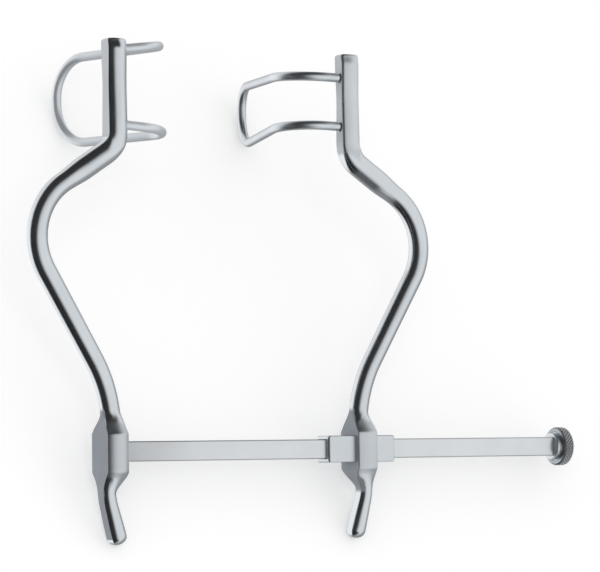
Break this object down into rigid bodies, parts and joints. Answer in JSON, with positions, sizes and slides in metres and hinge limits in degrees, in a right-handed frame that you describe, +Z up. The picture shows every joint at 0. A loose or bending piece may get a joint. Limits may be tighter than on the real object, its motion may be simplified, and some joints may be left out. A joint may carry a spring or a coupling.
{
  "type": "self retaining retractor",
  "caption": "Self retaining retractor with bowed arms, wire loop blades and finger levers; one arm slides along a flat crossbar and is stopped by a knurled end screw.",
  "frame": {"origin": "middle of the overall box, at the table that the instrument lies on", "axes": "+X along the crossbar from the fixed arm to the end screw, +Y from the finger levers towards the blades, +Z up; the arms lie 21.8 degrees above the table, resting on the blades and the lever tips"},
  "size_m": [0.218, 0.1786, 0.0679],
  "materials": {
    "forged_steel": "satin polish",
    "wire_steel": "polished",
    "bar_steel": "fine satin",
    "knurled_steel": "knurled rim, turned faces",
    "silver_braze": "bright braze"
  },
  "bodies": {
    "fixed_side": {"fixed_arm": "forged_steel", "fixed_blade": "wire_steel", "crossbar": "bar_steel", "crossbar_braze": "silver_braze", "fixed_blade_braze": "silver_braze"},
    "sliding_side": {"sliding_arm": "forged_steel", "sliding_blade": "wire_steel", "slide_sleeve": "bar_steel", "sliding_blade_braze": "silver_braze"},
    "screw": {"end_screw": "knurled_steel"}
  },
  "joints": [
    {"name": "arm_slide", "type": "slide", "parent": "fixed_side", "child": "sliding_side", "axis": [1, 0, 0], "range_m": [-0.064, 0.0706]},
    {"name": "end_screw_turn", "type": "hinge", "parent": "fixed_side", "child": "screw", "pos_m": [0.10903, -0.05979, 0.01357], "axis": [1, 0, 0], "continuous": true}
  ]
}
